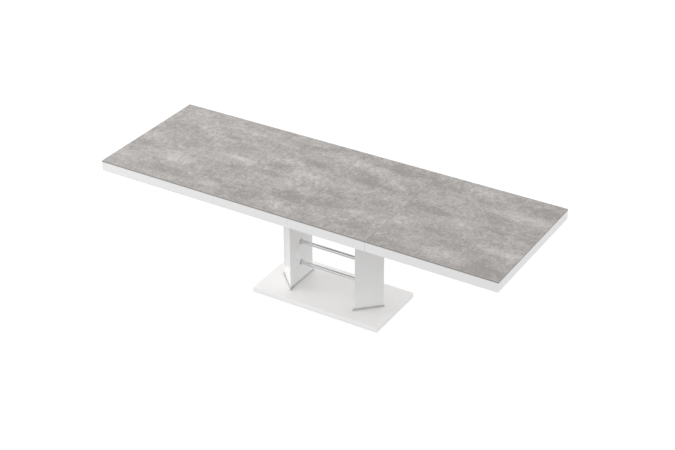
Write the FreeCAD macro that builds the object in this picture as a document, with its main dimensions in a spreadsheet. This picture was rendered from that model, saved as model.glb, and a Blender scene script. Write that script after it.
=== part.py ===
import FreeCAD, Part
import os
import re

import Sketcher

# Extendable pedestal dining table, in millimetres.
# Frame: +X along the table, +Y to the back, +Z up, origin on the floor under the middle of the top.
# The top is two halves, drawn out on telescopic runners, with two loose leaves between them.
# The pedestal is a base plate with two hollow three-sided columns joined by two steel tubes.

SIZES = {
    "half_length": (800, "length of one top half"),
    "leaf_length": (500, "length of one extension leaf"),
    "top_width": (890, "width of the top"),
    "table_height": (750, "floor to top surface"),
    "slab_thickness": (8, "decor slab"),
    "carrier_thickness": (16, "board glued under the slab"),
    "apron_height": (57.5, "apron below the slab"),
    "apron_thickness": (16, "apron board"),
    "seam_gap": (1, "gap between neighbouring top pieces"),
    "corner_leg": (40, "leg of a triangular corner block"),
    "corner_height": (30, "height of a corner block"),
    "pedestal_shift": (30, "middle of the pedestal from the middle of the top"),
    "base_length": (854, "base plate along X"),
    "base_width": (439, "base plate along Y"),
    "base_thickness": (33, "base plate"),
    "glide_height": (3, "glide under the base plate"),
    "glide_radius": (20, "glide"),
    "glide_inset": (45, "glide centre from the plate's edge"),
    "foot_height": (11, "steel foot plate under a column"),
    "foot_reveal": (5, "foot plate beyond the column's faces"),
    "column_gap": (441, "between the columns' inner faces"),
    "column_width": (252, "inner face of a column"),
    "panel_thickness": (16, "column panel"),
    "block_height": (40, "solid block at each end of a column"),
    "plate_thickness": (6, "steel plate on a column"),
    "tube_radius": (12, "outside of a cross tube"),
    "tube_wall": (1.5, "wall of a cross tube"),
    "upper_tube_height": (308, "upper tube's axis above the floor"),
    "lower_tube_height": (163, "lower tube's axis above the floor"),
    "rosette_radius": (18, "rosette at a tube's end"),
    "rosette_thickness": (5, "rosette's disc"),
    "boss_length": (12, "rosette's boss inside the tube"),
    "fit_clearance": (0.1, "radial gap of a shaft in its hole"),
    "bolt_radius": (3, "bolt that holds a rosette"),
    "bolt_grip": (9, "bolt's reach into the boss"),
    "bolt_head_radius": (6, "head of a rosette's bolt"),
    "bolt_head_height": (4, "head of a rosette's bolt"),
    "rod_radius": (5, "tie rod through a column"),
    "rod_gap": (22, "tie rod's axis from the inner panel"),
    "rod_edge": (20, "tie rod's axis from the oblique panel, along Y"),
    "rod_overrun": (2, "tie rod beyond its nut"),
    "nut_radius": (9, "corner radius of a hexagon nut"),
    "nut_height": (8, "hexagon nut"),
    "washer_radius": (11, "washer"),
    "washer_thickness": (2, "washer"),
    "recess_radius": (14, "recess for a nut under the base plate"),
    "recess_depth": (16, "recess for a nut under the base plate"),
    "beam_spacing": (360, "between the beams' middles"),
    "beam_width": (30, "beam across Y"),
    "beam_height": (38, "beam"),
    "beam_overhang": (20, "beam beyond the fixed runners"),
    "rail_width": (110, "cross rail along X"),
    "rail_thickness": (24, "cross rail"),
    "end_rail_width": (20, "end rail along X"),
    "dowel_radius": (4, "dowel between a rail and a beam"),
    "dowel_half": (15, "dowel's length in each piece"),
    "dowel_spacing": (60, "between the two dowels of a cross rail"),
    "runner_inset": (10, "runner's end from the parting line"),
    "runner_end_gap": (124, "runner's other end from the end apron"),
    "runner_height": (30, "runner's fixed member"),
    "runner_depth": (13, "whole runner across Y"),
    "runner_wall": (1.5, "sheet of the runner members"),
    "runner_play": (0.5, "gap between nested members"),
    "batten_width": (30, "batten across Y"),
    "batten_height": (36, "batten"),
    "batten_end_gap": (54, "batten's end from the end apron"),
    "screw_radius": (2, "screw that holds a batten"),
    "screw_bite": (8, "screw's reach into the carrier"),
    "screw_head_radius": (4, "pan head"),
    "screw_head_height": (2.5, "pan head"),
    "screw_inset": (60, "end screws from the batten's ends"),
    "guide_width": (20, "leaf's guide batten across Y"),
    "guide_height": (12, "leaf's guide batten"),
    "guide_inset": (40, "guide batten's end from the leaf's end"),
    "guide_clearance": (1, "guide batten from the beam"),
}

DERIVED = {
    "top_end": "half_length + leaf_length",
    "half_start": "leaf_length + seam_gap / 2",
    "slab_bottom": "table_height - slab_thickness",
    "carrier_bottom": "slab_bottom - carrier_thickness",
    "apron_bottom": "slab_bottom - apron_height",
    "top_edge": "top_width / 2",
    "apron_inside": "top_edge - apron_thickness",
    "end_inside": "top_end - apron_thickness",
    "beam_top": "carrier_bottom",
    "beam_bottom": "beam_top - beam_height",
    "beam_middle": "beam_top - beam_height / 2",
    "beam_inside": "beam_spacing / 2 - beam_width / 2",
    "beam_outside": "beam_spacing / 2 + beam_width / 2",
    "beam_end": "runner_inset + runner_length + beam_overhang",
    "rail_top": "beam_bottom + rail_thickness",
    "rail_middle": "beam_bottom + rail_thickness / 2",
    "runner_length": "half_length - apron_thickness - runner_inset - runner_end_gap",
    "batten_inside": "beam_outside + runner_depth",
    "batten_bottom": "carrier_bottom - batten_height",
    "batten_start": "leaf_length + runner_inset",
    "batten_end": "end_inside - batten_end_gap",
    "base_bottom": "glide_height",
    "base_top": "glide_height + base_thickness",
    "column_bottom": "base_top + foot_height",
    "column_top": "beam_bottom - plate_thickness",
    "column_height": "column_top - column_bottom",
    "column_face": "column_gap / 2",
    "column_half": "column_width / 2",
    "mitre": "1 + sqrt(2)",
    "rod_out": "column_face + panel_thickness + rod_gap",
    "rod_side": "column_half - sqrt(2) * panel_thickness - panel_thickness - rod_gap - rod_edge",
    "rod_foot": "base_bottom + recess_depth - washer_thickness - nut_height - rod_overrun",
    "rod_head": "rail_top + washer_thickness + nut_height + rod_overrun",
    "tube_half": "column_face - rosette_thickness",
    "boss_radius": "tube_radius - tube_wall - fit_clearance",
}

SIDES = {"left": -1, "right": 1}
TURNS = {
    "x": FreeCAD.Rotation(FreeCAD.Vector(0, 1, 0), 90),
    "y": FreeCAD.Rotation(FreeCAD.Vector(1, 0, 0), -90),
    "z": FreeCAD.Rotation(),
}

doc = FreeCAD.newDocument("ExtendableTable")
nodes = {}


# ---------------------------------------------------------------- helpers

def make_sheet():
    """Write every driving size into the sheet, one per row, with its alias."""
    sheet = doc.addObject("Spreadsheet::Sheet", "Sizes")
    for row, (name, (value, note)) in enumerate(SIZES.items(), start=1):
        sheet.set(f"A{row}", note)
        sheet.set(f"B{row}", str(value))
        sheet.setAlias(f"B{row}", name)
    doc.recompute()


def formula(text):
    """Spell a formula out in sheet cells, with the derived names replaced by their own formulas."""
    def spell(match):
        word = match.group()
        if word in DERIVED:
            return f"({formula(DERIVED[word])})"
        return f"Sizes.{word}" if word in SIZES else word
    return re.sub(r"[a-z][a-z_]*", spell, text)


def bind(item, name, text):
    """Tie one property of a document object to a formula."""
    item.setExpression(name, formula(text))


def place(item, x="0", y="0", z="0"):
    """Tie an object's position to formulas."""
    for axis, text in zip("xyz", (x, y, z)):
        bind(item, f"Placement.Base.{axis}", text)


def keep(name, item):
    """Register an object as the piece that is written to its own file."""
    item.Label = name
    nodes[name] = item


def outward(side, near, far):
    """A stretch along an axis from near to far, counted outwards on the given side (-1 or +1)."""
    return (near, far) if side > 0 else (f"-({far})", f"-({near})")


def on_pedestal(stretch):
    """The same stretch counted from the middle of the pedestal."""
    return tuple(f"{end} + pedestal_shift" for end in stretch)


def board(name, x, y, z):
    """A rectangular piece between (low, high) formulas along each axis."""
    box = doc.addObject("Part::Box", name)
    for size, (low, high) in zip(("Length", "Width", "Height"), (x, y, z)):
        bind(box, size, f"({high}) - ({low})")
    place(box, x[0], y[0], z[0])
    return box


def round_bar(name, radius, length, axis, start):
    """A cylinder that starts at a point and runs along +X, +Y or +Z."""
    bar = doc.addObject("Part::Cylinder", name)
    bind(bar, "Radius", radius)
    bind(bar, "Height", length)
    bar.Placement = FreeCAD.Placement(FreeCAD.Vector(), TURNS[axis])
    place(bar, *start)
    return bar


def group(name, members):
    """Separate solids kept together in one object."""
    bundle = doc.addObject("Part::Compound", name)
    bundle.Links = members
    return bundle


def cut(name, base, tools):
    """A piece with tools taken out of it."""
    result = doc.addObject("Part::Cut", name)
    result.Base = base
    result.Tool = group(f"{name}_tools", tools)
    return result


def origin_plane(body, role):
    """One of a body's own origin planes, found by its role."""
    return next(item for item in body.Origin.OriginFeatures if item.Role == role)


def outline(body, name, role, corners):
    """A closed sketch whose every corner is tied to a pair of formulas."""
    sketch = body.newObject("Sketcher::SketchObject", name)
    sketch.AttachmentSupport = [(origin_plane(body, role), "")]
    sketch.MapMode = "FlatFace"
    count = len(corners)
    ring = [FreeCAD.Rotation(FreeCAD.Vector(0, 0, 1), 360 * i / count).multVec(FreeCAD.Vector(100, 0, 0))
            for i in range(count)]
    for i in range(count):
        sketch.addGeometry(Part.LineSegment(ring[i], ring[(i + 1) % count]), False)
    for i in range(count):
        sketch.addConstraint(Sketcher.Constraint("Coincident", i, 2, (i + 1) % count, 1))
    for i, corner in enumerate(corners):
        for direction, axis, text in zip(("DistanceX", "DistanceY"), (-2, -1), corner):
            if text == "0":
                sketch.addConstraint(Sketcher.Constraint("PointOnObject", i, 1, axis))
                continue
            reach = ring[i].x if direction == "DistanceX" else ring[i].y
            index = sketch.addConstraint(Sketcher.Constraint(direction, i, 1, reach))
            label = f"corner_{i}_{direction}"
            sketch.renameConstraint(index, label)
            bind(sketch, f"Constraints.{label}", text)
    return sketch


def prism(name, role, corners, length, start):
    """A body padded from an outline on one of its origin planes."""
    body = doc.addObject("PartDesign::Body", name)
    sketch = outline(body, f"{name}_outline", role, corners)
    pad = body.newObject("PartDesign::Pad", f"{name}_pad")
    pad.Profile = sketch
    bind(pad, "Length", length)
    place(body, *start)
    return body


# ---------------------------------------------------------------- top

def top_piece(prefix, along):
    """Slab, carrier and the front and back aprons, which halves and leaves both have."""
    full_width = ("-top_edge", "top_edge")
    inner_width = ("-apron_inside", "apron_inside")
    apron_level = ("apron_bottom", "slab_bottom")
    carrier_along = CARRIER_SPANS[prefix]
    keep(f"{prefix}_slab", board(f"{prefix}_slab", along, full_width, ("slab_bottom", "table_height")))
    keep(f"{prefix}_front_apron",
         board(f"{prefix}_front_apron", along, ("-top_edge", "-apron_inside"), apron_level))
    keep(f"{prefix}_back_apron",
         board(f"{prefix}_back_apron", along, ("apron_inside", "top_edge"), apron_level))
    return board(f"{prefix}_carrier_board", carrier_along, inner_width, ("carrier_bottom", "slab_bottom"))


CARRIER_SPANS = {
    "left_half": outward(-1, "half_start", "end_inside"),
    "right_half": outward(1, "half_start", "end_inside"),
    "left_leaf": outward(-1, "seam_gap / 2", "leaf_length - seam_gap / 2"),
    "right_leaf": outward(1, "seam_gap / 2", "leaf_length - seam_gap / 2"),
}


def screw_places(side):
    """The (x, y) formulas of the screws that hold one half's two battens."""
    first = "batten_start + screw_inset"
    last = "batten_end - screw_inset"
    middle = f"({first} + {last}) / 2"
    across = "(batten_inside + batten_width / 2)"
    return [(f"{side} * ({along})", f"{edge} * {across}") for edge in (-1, 1) for along in (first, middle, last)]


def batten_screw(name, x, y):
    """A pan-head screw driven up through a batten into the carrier."""
    shank = round_bar(f"{name}_shank", "screw_radius", "batten_height + screw_bite", "z", (x, y, "batten_bottom"))
    head_level = "batten_bottom - screw_head_height"
    head = round_bar(f"{name}_head", "screw_head_radius", "screw_head_height", "z", (x, y, head_level))
    screw = doc.addObject("Part::MultiFuse", name)
    screw.Shapes = [shank, head]
    return screw


def screw_holes(name, side):
    """Clearance holes for one half's batten screws."""
    reach = "batten_height + screw_bite + screw_head_height"
    return [round_bar(f"{name}_hole_{i}", "screw_radius + fit_clearance", reach, "z",
                      (x, y, "batten_bottom - screw_head_height"))
            for i, (x, y) in enumerate(screw_places(side))]


def corner_block(name, side, edge):
    """A triangular glue block in a corner of the apron ring."""
    x, y = f"{side} * end_inside", f"{edge} * apron_inside"
    corners = [
        (x, y),
        (f"{x} - {side} * corner_leg", y),
        (x, f"{y} - {edge} * corner_leg"),
    ]
    return prism(name, "XY_Plane", corners, "corner_height", ("0", "0", "carrier_bottom - corner_height"))


def make_half(prefix, side):
    """One top half: slab, carrier, three aprons, battens for the runners, corner blocks and screws."""
    carrier = top_piece(prefix, outward(side, "half_start", "top_end"))
    keep(f"{prefix}_carrier", cut(f"{prefix}_carrier", carrier, screw_holes(f"{prefix}_carrier", side)))
    end = outward(side, "end_inside", "top_end")
    keep(f"{prefix}_end_apron",
         board(f"{prefix}_end_apron", end, ("-apron_inside", "apron_inside"), ("apron_bottom", "slab_bottom")))
    battens = [board(f"{prefix}_batten_{edge + 1}", outward(side, "batten_start", "batten_end"),
                     outward(edge, "batten_inside", "batten_inside + batten_width"),
                     ("batten_bottom", "carrier_bottom")) for edge in (-1, 1)]
    blank = group(f"{prefix}_batten_blanks", battens)
    keep(f"{prefix}_battens", cut(f"{prefix}_battens", blank, screw_holes(f"{prefix}_battens", side)))
    blocks = [corner_block(f"{prefix}_corner_{edge + 1}", side, edge) for edge in (-1, 1)]
    keep(f"{prefix}_corner_blocks", group(f"{prefix}_corner_blocks", blocks))
    screws = [batten_screw(f"{prefix}_screw_{i}", x, y) for i, (x, y) in enumerate(screw_places(side))]
    keep(f"{prefix}_batten_screws", group(f"{prefix}_batten_screws", screws))


def make_leaf(prefix, side):
    """One loose leaf, with two guide battens that drop between the beams."""
    along = CARRIER_SPANS[prefix]
    keep(f"{prefix}_carrier", top_piece(prefix, along))
    guide_along = outward(side, "guide_inset", "leaf_length - guide_inset")
    guides = [board(f"{prefix}_guide_{edge + 1}", guide_along,
                    outward(edge, "beam_inside - guide_clearance - guide_width", "beam_inside - guide_clearance"),
                    ("carrier_bottom - guide_height", "carrier_bottom")) for edge in (-1, 1)]
    keep(f"{prefix}_guides", group(f"{prefix}_guides", guides))


# ---------------------------------------------------------------- runners

def channel(edge, web, lip, height):
    """Outline of a channel: its web's outer face at web, its lips at lip, both counted from the beam."""
    inner = f"{web} + runner_wall" if web == "0" or web == "runner_wall + runner_play" else f"{web} - runner_wall"
    across = [web, lip, lip, inner, inner, lip, lip, web]
    level = f"({height}) / 2"
    shelf = f"({level} - runner_wall)"
    up = [f"-{level}", f"-{level}", f"-{shelf}", f"-{shelf}", shelf, shelf, level, level]
    return [(f"{edge} * (beam_outside + {u})", v) for u, v in zip(across, up)]


MIDDLE_HEIGHT = "runner_height - 2 * (runner_wall + runner_play)"
INNER_HEIGHT = "runner_height - 4 * (runner_wall + runner_play)"
MEMBERS = {
    "fixed": ("0", "runner_depth - runner_wall - runner_play", "runner_height"),
    "middle": ("runner_wall + runner_play", "runner_depth - runner_wall - runner_play", MIDDLE_HEIGHT),
    "inner": ("runner_depth", "2 * (runner_wall + runner_play)", INNER_HEIGHT),
}


def make_runners(prefix, side):
    """Two three-member runners of one half: fixed on the beams, middle, and inner on the battens."""
    closed = f"(runner_inset + {side} * pedestal_shift)"
    drawn = "(runner_inset + leaf_length)"
    starts = {"fixed": closed, "middle": f"({closed} + {drawn}) / 2", "inner": drawn}
    for member, (web, lip, height) in MEMBERS.items():
        low = outward(side, starts[member], f"{starts[member]} + runner_length")[0]
        pair = [prism(f"{prefix}_{member}_{edge + 1}", "YZ_Plane", channel(edge, web, lip, height),
                      "runner_length", (low, "0", "beam_middle")) for edge in (-1, 1)]
        keep(f"{prefix}_{member}_runners", group(f"{prefix}_{member}_runners", pair))


# ---------------------------------------------------------------- subframe

def rod_places():
    """The (x, y) formulas of the four tie rods."""
    return [(f"{side} * (rod_out) + pedestal_shift", f"{edge} * (rod_side)") for side in (-1, 1) for edge in (-1, 1)]


def rod_holes(name, low, reach):
    """Clearance holes for the tie rods."""
    return [round_bar(f"{name}_hole_{i}", "rod_radius + fit_clearance", reach, "z", (x, y, low))
            for i, (x, y) in enumerate(rod_places())]


def dowel_places():
    """The (x, z) formulas of the dowels, two for each cross rail and one for each end rail."""
    places = []
    for side in (-1, 1):
        for offset in ("-dowel_spacing / 2", "dowel_spacing / 2"):
            places.append((f"{side} * (rod_out) + {offset} + pedestal_shift", "rail_middle"))
        places.append((f"{side} * (beam_end - end_rail_width / 2) + pedestal_shift", "beam_middle"))
    return places


def dowels(name, clearance):
    """Every dowel, or with a clearance every dowel hole, across the inner faces of the beams."""
    return [round_bar(f"{name}_{i}_{edge + 1}", f"dowel_radius + {clearance}", f"2 * (dowel_half + {clearance})",
                      "y", (x, f"{edge} * beam_inside - dowel_half - {clearance}", z))
            for i, (x, z) in enumerate(dowel_places()) for edge in (-1, 1)]


def make_subframe():
    """Two beams along the table, two cross rails over the columns and two end rails, dowelled together."""
    along = on_pedestal(("-(beam_end)", "beam_end"))
    for name, edge in (("front_beam", -1), ("back_beam", 1)):
        blank = board(f"{name}_blank", along, outward(edge, "beam_inside", "beam_outside"),
                      ("beam_bottom", "beam_top"))
        keep(name, cut(name, blank, dowels(f"{name}_sockets", "fit_clearance")))
    between = ("-(beam_inside)", "beam_inside")
    for name, side in SIDES.items():
        along = on_pedestal(outward(side, "rod_out - rail_width / 2", "rod_out + rail_width / 2"))
        blank = board(f"{name}_cross_rail_blank", along, between, ("beam_bottom", "rail_top"))
        tools = dowels(f"{name}_rail_sockets", "fit_clearance")
        tools += rod_holes(f"{name}_rail", "beam_bottom", "rail_thickness")
        keep(f"{name}_cross_rail", cut(f"{name}_cross_rail", blank, tools))
    ends = [board(f"{name}_end_rail", on_pedestal(outward(side, "beam_end - end_rail_width", "beam_end")),
                  between, ("beam_bottom", "beam_top")) for name, side in SIDES.items()]
    blank = group("end_rail_blanks", ends)
    keep("end_rails", cut("end_rails", blank, dowels("end_rail_sockets", "fit_clearance")))
    keep("rail_dowels", group("rail_dowels", dowels("rail_dowel", "0")))


# ---------------------------------------------------------------- pedestal

def make_base():
    """The base plate, with recesses for the tie rods' nuts, and the glides under it."""
    x, y = "base_length / 2", "base_width / 2"
    corners = [(f"-{x}", f"-{y}"), (x, f"-{y}"), (x, y), (f"-{x}", y)]
    body = prism("base_plate_blank", "XY_Plane", corners, "base_thickness", ("pedestal_shift", "0", "base_bottom"))
    tools = rod_holes("base_plate", "base_bottom", "base_thickness")
    recesses = [round_bar(f"base_plate_recess_{i}", "recess_radius", "recess_depth", "z", (x, y, "base_bottom"))
                for i, (x, y) in enumerate(rod_places())]
    drilled = cut("base_plate_drilled", body, tools)
    keep("base_plate", cut("base_plate", drilled, recesses))
    spots = [(f"{a} * (base_length / 2 - glide_inset) + pedestal_shift", f"{b} * (base_width / 2 - glide_inset)")
             for a in (-1, 0, 1) for b in (-1, 1)]
    glides = [round_bar(f"glide_{i}", "glide_radius", "glide_height", "z", (x, y, "0"))
              for i, (x, y) in enumerate(spots)]
    keep("glides", group("glides", glides))


def column_corners(side, inset):
    """Corners of a column's plan, moved in from its faces: front, back, then the outer edge."""
    return [
        (f"{side} * (column_face + ({inset}))", f"-(column_half - mitre * ({inset}))"),
        (f"{side} * (column_face + ({inset}))", f"column_half - mitre * ({inset})"),
        (f"{side} * (column_face + column_half - sqrt(2) * ({inset}))", "0"),
    ]


def column_piece(name, corners, low, height):
    """An upright prism on the pedestal."""
    return prism(name, "XY_Plane", corners, height, ("pedestal_shift", "0", low))


def make_column(name, side):
    """A hollow three-sided column: three mitred panels, end blocks, foot plate and top plate."""
    front, back, outer = column_corners(side, "0")
    inner_front, inner_back, inner_outer = column_corners(side, "panel_thickness")
    bolts = [tube_bolt_hole(f"{name}_panel_{level}", side, level) for level in TUBE_LEVELS]
    inner = column_piece(f"{name}_inner_blank", [front, back, inner_back, inner_front],
                         "column_bottom", "column_height")
    keep(f"{name}_inner_panel", cut(f"{name}_inner_panel", inner, bolts))
    keep(f"{name}_front_panel", column_piece(f"{name}_front_panel", [front, outer, inner_outer, inner_front],
                                             "column_bottom", "column_height"))
    keep(f"{name}_back_panel", column_piece(f"{name}_back_panel", [back, outer, inner_outer, inner_back],
                                            "column_bottom", "column_height"))
    core = [inner_front, inner_back, inner_outer]
    blocks = [column_piece(f"{name}_block_{i}", core, low, "block_height")
              for i, low in enumerate(("column_bottom", "column_top - block_height"))]
    blank = group(f"{name}_block_blanks", blocks)
    keep(f"{name}_column_blocks", cut(f"{name}_column_blocks", blank,
                                      rod_holes(f"{name}_blocks", "column_bottom", "column_height")))
    foot = column_piece(f"{name}_foot_blank", column_corners(side, "-foot_reveal"), "base_top", "foot_height")
    keep(f"{name}_foot_trim", cut(f"{name}_foot_trim", foot, rod_holes(f"{name}_foot", "base_top", "foot_height")))
    along = on_pedestal(outward(side, "column_face", "column_face + column_half"))
    plate = board(f"{name}_plate_blank", along, ("-column_half", "column_half"), ("column_top", "beam_bottom"))
    keep(f"{name}_top_plate", cut(f"{name}_top_plate", plate,
                                  rod_holes(f"{name}_plate", "column_top", "plate_thickness")))


TUBE_LEVELS = {"upper": "upper_tube_height", "lower": "lower_tube_height"}


def tube_bolt_hole(name, side, level):
    """The hole for a rosette's bolt through a column's inner panel."""
    low = on_pedestal(outward(side, "column_face", "column_face + panel_thickness"))[0]
    return round_bar(f"{name}_hole", "bolt_radius + fit_clearance", "panel_thickness", "x",
                     (low, "0", TUBE_LEVELS[level]))


def rosette(name, side, level):
    """A disc against the column with a boss that fills the tube's end, drilled for its bolt."""
    height = TUBE_LEVELS[level]
    disc_low = on_pedestal(outward(side, "tube_half", "column_face"))[0]
    boss_low = on_pedestal(outward(side, "tube_half - boss_length", "tube_half"))[0]
    disc = round_bar(f"{name}_disc", "rosette_radius", "rosette_thickness", "x", (disc_low, "0", height))
    boss = round_bar(f"{name}_boss", "boss_radius", "boss_length", "x", (boss_low, "0", height))
    solid = doc.addObject("Part::MultiFuse", f"{name}_solid")
    solid.Shapes = [disc, boss]
    bore_low = on_pedestal(outward(side, "tube_half - boss_length", "column_face"))[0]
    bore = round_bar(f"{name}_bore", "bolt_radius + fit_clearance", "boss_length + rosette_thickness", "x",
                     (bore_low, "0", height))
    return cut(name, solid, [bore])


def tube_bolt(name, side, level):
    """A bolt from inside the column through the inner panel into a rosette's boss."""
    height = TUBE_LEVELS[level]
    seat = "column_face + panel_thickness"
    shank_low = on_pedestal(outward(side, "tube_half - bolt_grip", seat))[0]
    reach = "bolt_grip + rosette_thickness + panel_thickness"
    shank = round_bar(f"{name}_shank", "bolt_radius", reach, "x", (shank_low, "0", height))
    head_low = on_pedestal(outward(side, seat, f"{seat} + bolt_head_height"))[0]
    head = round_bar(f"{name}_head", "bolt_head_radius", "bolt_head_height", "x", (head_low, "0", height))
    bolt = doc.addObject("Part::MultiFuse", name)
    bolt.Shapes = [shank, head]
    return bolt


def make_tubes():
    """Two cross tubes between the columns, with a rosette and a bolt at each end."""
    rosettes = []
    bolts = []
    for level, height in TUBE_LEVELS.items():
        start = ("pedestal_shift - tube_half", "0", height)
        outside = round_bar(f"{level}_tube_outside", "tube_radius", "2 * tube_half", "x", start)
        inside = round_bar(f"{level}_tube_inside", "tube_radius - tube_wall", "2 * tube_half", "x", start)
        keep(f"{level}_tube", cut(f"{level}_tube", outside, [inside]))
        for name, side in SIDES.items():
            rosettes.append(rosette(f"{level}_{name}_rosette", side, level))
            bolts.append(tube_bolt(f"{level}_{name}_bolt", side, level))
    keep("tube_rosettes", group("tube_rosettes", rosettes))
    keep("tube_bolts", group("tube_bolts", bolts))


def washer(name, x, y, low):
    """A flat washer round a tie rod."""
    disc = round_bar(f"{name}_disc", "washer_radius", "washer_thickness", "z", (x, y, low))
    hole = round_bar(f"{name}_hole", "rod_radius + fit_clearance", "washer_thickness", "z", (x, y, low))
    return cut(name, disc, [hole])


def nut(name, x, y, low):
    """A hexagon nut on a tie rod."""
    hexagon = doc.addObject("Part::Prism", f"{name}_hexagon")
    hexagon.Polygon = 6
    bind(hexagon, "Circumradius", "nut_radius")
    bind(hexagon, "Height", "nut_height")
    place(hexagon, x, y, low)
    thread = round_bar(f"{name}_thread", "rod_radius", "nut_height", "z", (x, y, low))
    return cut(name, hexagon, [thread])


def make_tie_rods():
    """Four tie rods that clamp the base plate, columns and cross rails, with nuts and washers."""
    lower_seat = "base_bottom + recess_depth"
    washer_levels = (f"{lower_seat} - washer_thickness", "rail_top")
    nut_levels = (f"{lower_seat} - washer_thickness - nut_height", "rail_top + washer_thickness")
    rods = []
    washers = []
    nuts = []
    for i, (x, y) in enumerate(rod_places()):
        rods.append(round_bar(f"tie_rod_{i}", "rod_radius", "rod_head - rod_foot", "z", (x, y, "rod_foot")))
        washers += [washer(f"tie_washer_{i}_{j}", x, y, low) for j, low in enumerate(washer_levels)]
        nuts += [nut(f"tie_nut_{i}_{j}", x, y, low) for j, low in enumerate(nut_levels)]
    keep("tie_rods", group("tie_rods", rods))
    keep("tie_washers", group("tie_washers", washers))
    keep("tie_nuts", group("tie_nuts", nuts))


# ---------------------------------------------------------------- build and write

def check_model():
    """Stop on any failed object or any piece without a valid shape."""
    failed = [item.Label for item in doc.Objects if {"Invalid", "Error"} & set(item.State)]
    if failed:
        raise RuntimeError(f"failed objects: {failed}")
    for name, item in nodes.items():
        if item.Shape.isNull() or not item.Shape.isValid() or item.Shape.Volume <= 0:
            raise RuntimeError(f"bad shape: {name}")


def write_parts():
    """Write each piece to its own STEP file."""
    os.makedirs("parts", exist_ok=True)
    for name, item in nodes.items():
        item.Shape.exportStep(f"parts/{name}.step")
    print(f"{len(nodes)} parts written")


make_sheet()
make_base()
make_tubes()
make_tie_rods()
make_subframe()
for side_name, side_sign in SIDES.items():
    make_column(side_name, side_sign)
    make_runners(side_name, side_sign)
    make_half(f"{side_name}_half", side_sign)
    make_leaf(f"{side_name}_leaf", side_sign)
doc.recompute()
check_model()
write_parts()
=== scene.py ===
"""Looks of an extendable pedestal dining table, built round its fixed frame."""

from __future__ import annotations

import logging
import math
from dataclasses import dataclass, field
from enum import Enum

import bpy
import numpy as np
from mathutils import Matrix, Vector


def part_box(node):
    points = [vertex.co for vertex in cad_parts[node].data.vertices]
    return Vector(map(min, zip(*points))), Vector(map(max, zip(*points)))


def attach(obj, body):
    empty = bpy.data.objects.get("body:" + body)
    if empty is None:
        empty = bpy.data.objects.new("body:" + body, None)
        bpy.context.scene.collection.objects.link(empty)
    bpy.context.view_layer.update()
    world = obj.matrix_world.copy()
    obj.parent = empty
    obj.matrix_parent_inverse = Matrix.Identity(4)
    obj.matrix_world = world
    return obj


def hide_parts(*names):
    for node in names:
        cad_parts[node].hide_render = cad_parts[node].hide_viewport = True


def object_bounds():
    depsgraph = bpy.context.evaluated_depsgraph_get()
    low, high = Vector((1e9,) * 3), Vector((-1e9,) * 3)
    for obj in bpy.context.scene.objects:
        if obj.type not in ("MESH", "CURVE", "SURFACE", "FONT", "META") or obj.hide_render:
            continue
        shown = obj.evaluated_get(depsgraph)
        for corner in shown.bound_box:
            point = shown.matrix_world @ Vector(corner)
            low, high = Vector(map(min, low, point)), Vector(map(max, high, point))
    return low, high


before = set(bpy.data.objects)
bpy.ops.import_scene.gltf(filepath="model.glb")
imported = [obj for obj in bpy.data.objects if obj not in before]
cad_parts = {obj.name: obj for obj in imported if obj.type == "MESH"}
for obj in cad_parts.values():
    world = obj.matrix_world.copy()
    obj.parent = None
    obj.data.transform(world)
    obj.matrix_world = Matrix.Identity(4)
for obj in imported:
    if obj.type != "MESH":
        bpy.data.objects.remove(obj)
CAD_BOX = [list(corner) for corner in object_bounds()]
LOG = logging.getLogger("dining_table")
SIDES = {"left": -1.0, "right": 1.0}


# ---------------------------------------------------------------- colour and node recipes

def shade(red: int, green: int, blue: int) -> tuple[float, float, float, float]:
    """Turn a display colour into the linear colour that a shader takes.

    Args:
        red, green, blue: display values from 0 to 255.

    Returns:
        Linear red, green, blue and an alpha of 1.
    """
    values = np.array([red, green, blue]) / 255.0
    linear = np.where(values <= 0.04045, values / 12.92, ((values + 0.055) / 1.055) ** 2.4)
    return (float(linear[0]), float(linear[1]), float(linear[2]), 1.0)


class Grain(Enum):
    """Direction in which a board's grain or a sheet's rolling marks run."""

    LENGTHWISE = "lengthwise"
    ACROSS = "across"
    UPRIGHT = "upright"

    def stretch(self, along: float, over: float) -> tuple[float, float, float]:
        """Noise scale per axis, small along the grain so that the marks come out long.

        Args:
            along: scale along the grain.
            over: scale on the other two axes.

        Returns:
            Scales for X, Y and Z.
        """
        scales = [over, over, over]
        scales[list(Grain).index(self)] = along
        return (scales[0], scales[1], scales[2])


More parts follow.
